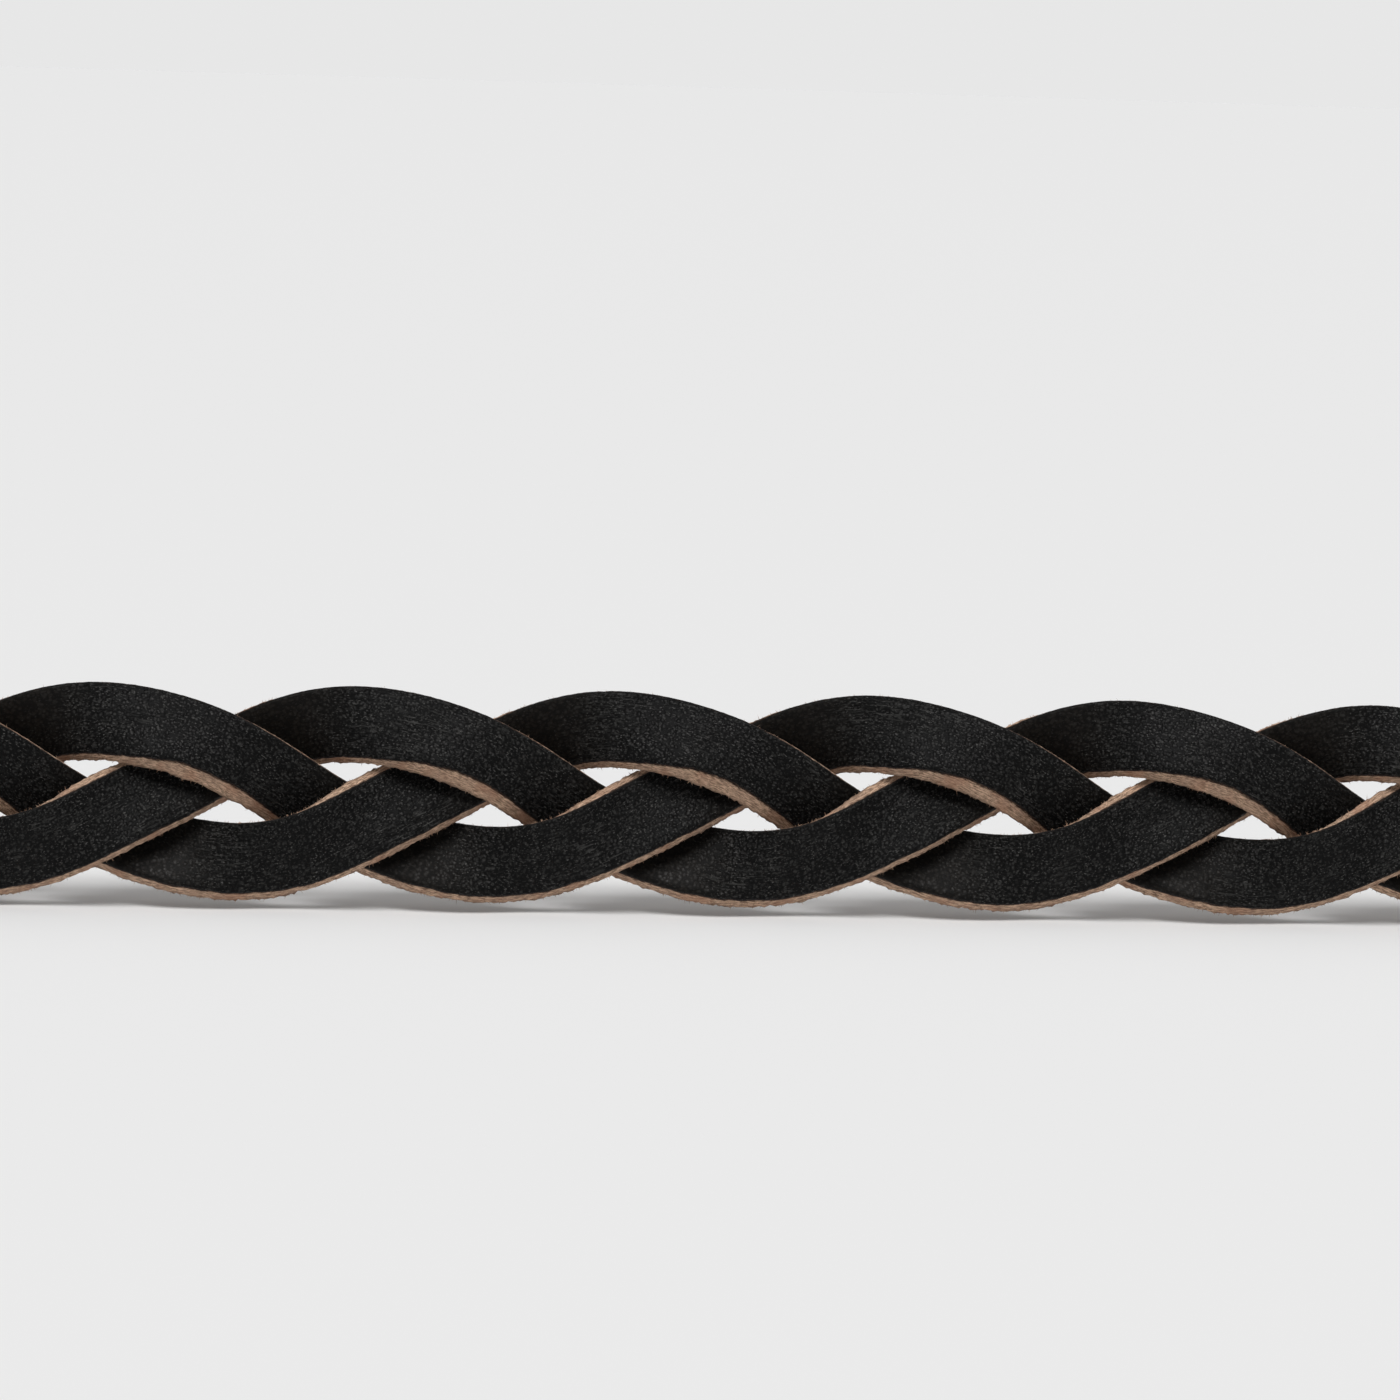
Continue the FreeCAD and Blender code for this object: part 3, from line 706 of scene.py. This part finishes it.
def arc(centre, radius, first, last, steps=6):
    """Points of an arc, from one angle to another in degrees."""
    angles = [math.radians(first + (last - first) * step / steps) for step in range(steps + 1)]
    return [(centre[0] + radius * math.cos(a), centre[1] + radius * math.sin(a)) for a in angles]


def outline(long, tall, inset):
    """A tab's outline moved in by inset, with as many points for one inset as for another."""
    arcs = []
    corners = ((False, False, 180, ENTRY_CORNER), (True, False, 270, TAB_CORNER),
               (True, True, 0, TAB_CORNER), (False, True, 90, ENTRY_CORNER))
    for far, top, first, corner in corners:
        radius = max(corner - inset, LEAST_CORNER)
        room = inset + radius
        centre = (long - room if far else room, tall - room if top else room)
        arcs.append(arc(centre, radius, first, first + 90, CORNER_STEPS))
    points = []
    for bend, following in zip(arcs, arcs[1:] + arcs[:1]):
        points += bend
        start, end = np.array(bend[-1]), np.array(following[0])
        points += [tuple(start + (end - start) * step / SIDE_STEPS) for step in range(1, SIDE_STEPS)]
    return points


def between(points, longest):
    """The closed outline with points added, so that no side of it is longer than longest."""
    dense = []
    for start, end in zip(points, points[1:] + points[:1]):
        count = max(1, math.ceil(math.dist(start, end) / longest))
        for step in range(count):
            share = step / count
            dense.append((start[0] + share * (end[0] - start[0]), start[1] + share * (end[1] - start[1])))
    return dense


def lengths_round(points):
    """How far each point of a closed outline is from its first, along the outline."""
    steps = [math.dist(start, end) for start, end in zip(points, points[1:])]
    return np.concatenate([[0], np.cumsum(steps)])


def closed_loops(count, loops, slot_of=lambda loop: 0):
    """Quads between loops of count points each, a face over both ends, and the slot of each face."""
    faces, slots = [], []
    for loop in range(loops - 1):
        here, ahead = loop * count, (loop + 1) * count
        for n in range(count):
            m = (n + 1) % count
            faces.append((here + n, here + m, ahead + m, ahead + n))
            slots.append(slot_of(loop))
    faces.append(tuple(reversed(range(count))))
    faces.append(tuple(range((loops - 1) * count, loops * count)))
    return faces, slots + [slot_of(0), slot_of(loops - 2)]


def rim_profile(thick):
    """(inset, rise, slot beyond) from the back round the rim and over the pressed stitching line."""
    r, line, brink = RIM_ROUND, STITCH_INSET, thick - PRESSED / 3
    back = [(line + 2, 0, FLESH), (r, 0, CUT)]
    rim = [(0.3 * r, 0.3 * r), (0, r), (0, thick / 2), (0, thick - r), (0.3 * r, thick - 0.3 * r)]
    pressed = [(line - 0.3, brink), (line, thick - PRESSED), (line + 0.35, brink)]
    face = [(r, thick), (line - 0.6, thick)] + pressed + [(line + 0.7, thick), (line + 2, thick)]
    return back + [point + (CUT,) for point in rim] + [point + (GRAIN,) for point in face]


def panel(name, node, body, face, face_outward=True):
    """A leather layer with rounded raw rims and a pressed line under its stitches.

    Only a layer that faces outward has a black finish, which ends at its raw rim.
    """
    low, high = node_box(node)
    long, tall, thick = high.y - low.y, high.z - low.z, high.x - low.x
    hand = math.copysign(1, low.x)
    out_way = hand if face_outward else -hand
    base_x = low.x if out_way > 0 else high.x
    profile = rim_profile(thick)
    round_rim = lengths_round(outline(long, tall, 0))
    points, strap, cut_strap, cuts = [], [], [], []
    for inset, rise, _ in profile:
        for (along, up), length in zip(outline(long, tall, inset), round_rim):
            points.append((base_x + out_way * rise, low.y + along, low.z + up))
            strap.append((low.y + along, hand * up))
            cut_strap.append((hand * (RIM_STRAP + length), rise))
            cuts.append(1 - rise / thick if face_outward else BARE_MARK)
    faces, slots = closed_loops(len(round_rim), len(profile), lambda loop: profile[loop][2])
    if out_way < 0:
        faces = [tuple(reversed(corners)) for corners in faces]
    piece = mesh_piece(name, points, faces, (face, EDGE, SUEDE), slots, strap, {"cut": cuts}, cut_strap)
    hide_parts(node)
    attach(piece, body)


def core_outline(long, tall, far_seat):
    """The filler's outline: rails beside the near seat, and beside the far one where there is one."""
    corner = TAB_CORNER - CORE_INSET
    sweep = math.degrees(math.acos((TAB_CORNER - CORE_RAIL) / corner)) if far_seat else 90
    lower = arc((long - TAB_CORNER, TAB_CORNER), corner, 270, 270 + sweep)
    upper = [(along, tall - up) for along, up in reversed(lower)]
    low, high = CORE_RAIL, tall - CORE_RAIL
    far_bay = [(long - CORE_SEAT, low), (long - CORE_SEAT, high)] if far_seat else []
    near_bay = [(CORE_INSET, high), (CORE_SEAT, high), (CORE_SEAT, low), (CORE_INSET, low)]
    start, end = (CORE_INSET, CORE_INSET), (CORE_INSET, tall - CORE_INSET)
    return [start] + lower + far_bay + upper + [end] + near_bay


def filler(name, node, body, far_seat):
    """The raw leather between two layers, with fuzzy cut sides."""
    low, high = node_box(node)
    long, tall = high.y - low.y + 2 * CORE_INSET, high.z - low.z + 2 * CORE_INSET
    thick = high.x - low.x - 2 * CORE_GAP
    rim = between(core_outline(long, tall, far_seat), CORE_STEP)
    draws = np.random.default_rng(CORE_SEED)
    points, strap = [], []
    for rise in [thick * share for share in CORE_RISES]:
        fuzz = draws.normal(0, CORE_FUZZ, (len(rim), 2))
        for (along, up), (ahead, aside), length in zip(rim, fuzz, lengths_round(rim)):
            y, z = low.y - CORE_INSET + along + ahead, low.z - CORE_INSET + up + aside
            points.append((low.x + CORE_GAP + rise, y, z))
            strap.append((CORE_STRAP + length, rise))
    faces, slots = closed_loops(len(rim), len(CORE_RISES))
    marks = {"cut": [BARE_MARK] * len(points)}
    piece = mesh_piece(name, points, faces, (EDGE,), slots, strap, marks)
    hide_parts(node)
    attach(piece, body)


def spread(room, pitch):
    """Even places over the room, about one pitch apart and half a step from its ends."""
    count = round(room / pitch)
    return [room * (step + 0.5) / count for step in range(count)]


def rim_place(long, distance):
    """Centre along and up, and turn, at a distance down the row inside the rounded rim."""
    radius = TAB_CORNER - STITCH_INSET
    side, bend = long - TAB_CORNER - STITCH_INSET, radius * math.pi / 2
    if distance < side:
        return STITCH_INSET + distance, STITCH_INSET, 0
    if distance < side + bend:
        angle = (distance - side) / radius
        along, up = radius * math.sin(angle), -radius * math.cos(angle)
        return long - TAB_CORNER + along, TAB_CORNER + up, angle
    return long - STITCH_INSET, TAB_CORNER + distance - side - bend, math.pi / 2


def stitch_places(long, tall, cross_rows):
    """Centre along and up, and turn, of each stitch on one face of a tab."""
    radius = TAB_CORNER - STITCH_INSET
    half_rim = long - TAB_CORNER - STITCH_INSET + radius * math.pi / 2 + tall / 2 - TAB_CORNER
    for distance in spread(2 * half_rim, STITCH_PITCH):
        along, up, turn = rim_place(long, min(distance, 2 * half_rim - distance))
        yield (along, up, turn) if distance < half_rim else (along, tall - up, -turn)
    for along in cross_rows:
        for up in spread(tall - 2 * STITCH_INSET, STITCH_PITCH):
            yield along, STITCH_INSET + up, math.pi / 2


THREAD_RADIUS = 0.34
THREAD_AROUND = 12
THREAD_STEPS = 17
THREAD_TWISTS = 1.6
# How far apart two points round the thread are in its strap map.
THREAD_MAP_STEP = 0.13
THREAD_SUNK = 0.34
THREAD_ARCH = 0.36
PLY_DEEP = 0.13
STITCH_LONG = 2.9
STITCH_SLANT = 0.05


def thread_rings(centre, way, heading):
    """The rings of one stitch, which rises out of the leather and goes back in, and its strap map."""
    out = Vector((way, 0, 0))
    ahead = Vector((0, math.cos(heading), math.sin(heading)))
    aside = Vector((0, -math.sin(heading), math.cos(heading)))
    for step in range(THREAD_STEPS):
        share = step / (THREAD_STEPS - 1)
        arch = math.sin(math.pi * share)
        rise = THREAD_ARCH * arch ** 0.6 - THREAD_SUNK
        middle = centre + ahead * (share - 0.5) * STITCH_LONG + out * rise
        for n in range(THREAD_AROUND):
            angle = 2 * math.pi * n / THREAD_AROUND
            ply = 1 + PLY_DEEP * math.cos(2 * angle - 4 * math.pi * THREAD_TWISTS * share)
            girth = THREAD_RADIUS * (0.7 + 0.3 * arch ** 0.5) * ply / 1.1
            ring = aside * math.cos(angle) + out * math.sin(angle)
            yield tuple(middle + ring * girth), (share * STITCH_LONG, n * THREAD_MAP_STEP)


def stitching(name, node, body, outer, lining, cross_rows):
    """Every stitch of a tab, on its outer and its lining face."""
    outer_low, outer_high = node_box(outer)
    lining_low, lining_high = node_box(lining)
    hand = math.copysign(1, outer_low.x)
    long, tall = outer_high.y - outer_low.y, outer_high.z - outer_low.z
    outer_face = outer_high.x if hand > 0 else outer_low.x
    lining_face = lining_low.x if hand > 0 else lining_high.x
    tube, _ = closed_loops(THREAD_AROUND, THREAD_STEPS)
    points, faces, strap = [], [], []
    for face_x, way in ((outer_face, hand), (lining_face, -hand)):
        for along, up, turn in stitch_places(long, tall, cross_rows):
            centre = Vector((face_x, outer_low.y + along, outer_low.z + up))
            faces += [tuple(len(points) + corner for corner in face) for face in tube]
            for point, where in thread_rings(centre, way, turn + STITCH_SLANT * way):
                points.append(point)
                strap.append(where)
    piece = mesh_piece(name, points, faces, (THREAD,), None, strap)
    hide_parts(node)
    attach(piece, body)


RIBS = 12
RIB_DEEP = 0.14
ELASTIC_COLUMNS = 96
ELASTIC_ROWS = 90
# How square the elastic's sides are, and their least thickness as a share.
ELASTIC_SQUARE, ELASTIC_SIDE = 18, 0.12
# Where the strap map of the elastic's inner face starts, clear of the outer face's.
INNER_STRAP = 40


def elastic_profile(wide, thick):
    """(up, out) round the elastic: lengthwise ribs between rounded sides."""
    for side in (1, -1):
        for step in range(ELASTIC_COLUMNS):
            across = side * (2 * step / (ELASTIC_COLUMNS - 1) - 1)
            rib = 0.5 + 0.5 * math.cos(2 * math.pi * RIBS * (across + 1) / 2)
            edge = math.sqrt(max(1 - abs(across) ** ELASTIC_SQUARE, 0))
            deep = thick / 2 * (1 - RIB_DEEP + RIB_DEEP * rib) * max(edge, ELASTIC_SIDE)
            yield across * wide / 2, side * deep


def make_elastic():
    """The ribbed elastic, which stretches between the left tab and the snap tab."""
    low, high = node_box("elastic_strap")
    centre = (low + high) / 2
    profile = list(elastic_profile(high.z - low.z, high.x - low.x))
    points, strap = [], []
    for row in range(ELASTIC_ROWS + 1):
        y = low.y + (high.y - low.y) * row / ELASTIC_ROWS
        for up, out in profile:
            points.append((centre.x + out, y, centre.z + up))
            strap.append((y, up + (INNER_STRAP if out < 0 else 0)))
    faces, _ = closed_loops(len(profile), ELASTIC_ROWS + 1)
    faces = [tuple(reversed(corners)) for corners in faces]
    piece = mesh_piece("elastic_webbing", points, faces, (ELASTIC,), None, strap)
    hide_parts("elastic_strap")
    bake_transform(piece)


TURNED_STEPS = 72


def turned(name, node, body, centre, way, profile):
    """A turned metal piece from its profile of (radius, height), which a flat face closes at each end."""
    points = []
    for radius, rise in profile:
        for n in range(TURNED_STEPS):
            angle = 2 * math.pi * n / TURNED_STEPS
            y, z = centre.y + radius * math.cos(angle), centre.z + radius * math.sin(angle)
            points.append((centre.x + way * rise, y, z))
    faces, _ = closed_loops(TURNED_STEPS, len(profile))
    if way < 0:
        faces = [tuple(reversed(corners)) for corners in faces]
    piece = mesh_piece(name, points, faces, (METAL,))
    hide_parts(node)
    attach(piece, body)


SNAP_FROM_END = 13
BARREL = 1.5
# The radius of the face that closes a flat end, and of the one that closes a dished end.
FLAT_RADIUS, DISH_RADIUS = 0.3, 0.2
FLANGE = [(FLAT_RADIUS, 0), (5.2, 0)] + arc((5.1, 0.4), 0.4, -80, 80)


def cap_profile(through):
    """A barrel through the leather, a rolled rim and a shallow dome."""
    rim = [(5.5, 0), (5.9, 0.02)] + arc((5.75, 0.45), 0.45, -60, 100) + [(5.2, 0.92)]
    dome = [(5.2 * math.cos(t), 0.92 + 1.05 * math.sin(t)) for t in np.linspace(0.12, 1.5, 12)]
    return [(BARREL, -through), (BARREL, 0)] + rim + dome


def socket_profile():
    """A flange with a raised ring round its floor."""
    ring = [(4.4, 0.8)] + arc((3.9, 2.3), 0.3, 0, 90, 5) + arc((2.9, 2.3), 0.3, 90, 180, 5)
    return FLANGE + ring + [(2.6, 0.8), (FLAT_RADIUS, 0.8)]


def stud_profile():
    """A flange with a pin that swells at its top, and a dished end."""
    neck = [(3.6, 0.78)] + arc((2.8, 1.1), 0.3, 270, 180, 4)
    head = arc((2.1, 2.2), 0.4, 0, 90, 6)
    return FLANGE + neck + head + [(1.4, 2.58), (1.2, 2.35), (DISH_RADIUS, 2.3)]


def post_profile(through):
    """A barrel through the leather and a flange with a dished face."""
    rim = [(5.0, 0)] + arc((5.1, 0.4), 0.4, -80, 95)
    dish = [(4.0, 0.8), (2.2, 0.72), (1.6, 0.5), (DISH_RADIUS, 0.45)]
    return [(BARREL, -through), (BARREL, 0)] + rim + dish


def snap_faces(tab, hand):
    """The snap's place on the outside and on the inside of a tab."""
    outer_low, outer_high = node_box(tab + "_outer")
    lining_low, lining_high = node_box(tab + "_lining")
    outer_x, lining_x = (outer_low.x, lining_high.x) if hand == LEFT else (outer_high.x, lining_low.x)
    y, z = outer_high.y - SNAP_FROM_END, (outer_low.z + outer_high.z) / 2
    return Vector((outer_x, y, z)), Vector((lining_x, y, z))


def make_snap():
    """The cap and socket on the snap tab, and the stud and post on the right tab."""
    outside, inside = snap_faces("snap_tab", LEFT)
    through = abs(outside.x - inside.x)
    turned("snap_cap_domed", "snap_cap", "snap_end", outside, LEFT, cap_profile(through))
    turned("snap_socket_ring", "snap_socket", "snap_end", inside, RIGHT, socket_profile())
    outside, inside = snap_faces("right_tab", RIGHT)
    through = abs(outside.x - inside.x)
    turned("snap_stud_pin", "snap_stud", "right_wing", outside, RIGHT, stud_profile())
    turned("snap_post_flange", "snap_post", "right_wing", inside, LEFT, post_profile(through))


TABS = (("left_tab", "left_wing", True), ("snap_tab", "snap_end", False), ("right_tab", "right_wing", False))


def make_tabs():
    """Each tab's layers and thread. Only the left tab has a seat at its far end too."""
    for tab, body, far_seat in TABS:
        outer, lining, core = tab + "_outer", tab + "_lining", tab + "_core"
        panel(outer + "_leather", outer, body, TAB_BLACK)
        panel(lining + "_leather", lining, body, LINING, face_outward=False)
        filler(core + "_leather", core, body, far_seat)
        low, high = node_box(outer)
        rows = (STITCH_INSET, high.y - low.y - SEAT_ROW if far_seat else SEAT_ROW)
        stitching(tab + "_thread", tab + "_stitching", body, outer, lining, rows)


make_tabs()
make_elastic()
make_snap()


# -------------------- stage, camera and light

FLOOR_RADIUS = 9000
CAMERA_AWAY = 600
CAMERA_RISE = math.radians(6.5)
CAMERA_TURN = math.radians(-6)
CAMERA_ROLL = math.radians(1.75)
VIEW_WIDE = 143.3
NEAREST_SEEN = 10
AIM = FRONT + Vector((8.3, 0, 10.3))


def make_floor():
    """A wide pale floor."""
    bpy.ops.mesh.primitive_circle_add(vertices=96, radius=FLOOR_RADIUS * MM, fill_type="NGON")
    floor = bpy.context.object
    floor.name = "studio_floor"
    floor.data.materials.append(studio_floor("pale_floor"))


def make_camera():
    """A camera above the band's front, slightly turned and rolled."""
    camera = bpy.data.objects.new("camera", bpy.data.cameras.new("camera"))
    bpy.context.scene.collection.objects.link(camera)
    level = math.cos(CAMERA_RISE)
    back = Vector((level * math.sin(CAMERA_TURN), -level * math.cos(CAMERA_TURN), math.sin(CAMERA_RISE)))
    camera.location = (AIM + back * CAMERA_AWAY) * MM
    look = (-back).to_track_quat("-Z", "Y").to_matrix().to_4x4()
    roll = Matrix.Rotation(CAMERA_ROLL, 4, "Z")
    camera.matrix_world = Matrix.Translation(camera.location) @ look @ roll
    camera.data.lens = camera.data.sensor_width * CAMERA_AWAY / VIEW_WIDE
    camera.data.clip_start = NEAREST_SEEN * MM
    bpy.context.scene.camera = camera


def sun(name, strength, soft_degrees, rise_degrees, turn_degrees):
    """A soft lamp that shines from the front when turn is 0."""
    lamp = bpy.data.lights.new(name, "SUN")
    lamp.energy = strength
    lamp.angle = math.radians(soft_degrees)
    piece = bpy.data.objects.new(name, lamp)
    rise, turn = math.radians(rise_degrees), math.radians(turn_degrees)
    way = Vector((math.sin(turn) * math.cos(rise), -math.cos(turn) * math.cos(rise), math.sin(rise)))
    piece.rotation_euler = way.to_track_quat("Z", "Y").to_euler()
    bpy.context.scene.collection.objects.link(piece)


def make_world(level, overhead, seen):
    """A room that is brightest overhead. What the camera sees of it matches the floor."""
    world = bpy.data.worlds.new("studio")
    world.use_nodes = True
    bpy.context.scene.world = world
    nodes, links = world.node_tree.nodes, world.node_tree.links
    lit = nodes["Background"]
    lit.inputs[0].default_value = (1, 1, 1, 1)
    way = nodes.new("ShaderNodeTexCoord")
    split = nodes.new("ShaderNodeSeparateXYZ")
    rise = nodes.new("ShaderNodeMapRange")
    rise.inputs[1].default_value = 0.1
    rise.inputs[2].default_value = 1.0
    rise.inputs[3].default_value = level
    rise.inputs[4].default_value = overhead
    links.new(way.outputs["Generated"], split.inputs[0])
    links.new(split.outputs["Z"], rise.inputs[0])
    links.new(rise.outputs[0], lit.inputs[1])
    shown = nodes.new("ShaderNodeBackground")
    shown.inputs[0].default_value = (1, 1, 1, 1)
    shown.inputs[1].default_value = seen
    path = nodes.new("ShaderNodeLightPath")
    mix = nodes.new("ShaderNodeMixShader")
    links.new(path.outputs["Is Camera Ray"], mix.inputs[0])
    links.new(lit.outputs[0], mix.inputs[1])
    links.new(shown.outputs[0], mix.inputs[2])
    links.new(mix.outputs[0], nodes["World Output"].inputs[0])


make_floor()
make_camera()
make_world(level=0.045, overhead=0.58, seen=0.8)
sun("key", strength=2.3, soft_degrees=28, rise_degrees=54, turn_degrees=-8)
bpy.context.scene.view_settings.view_transform = "Standard"
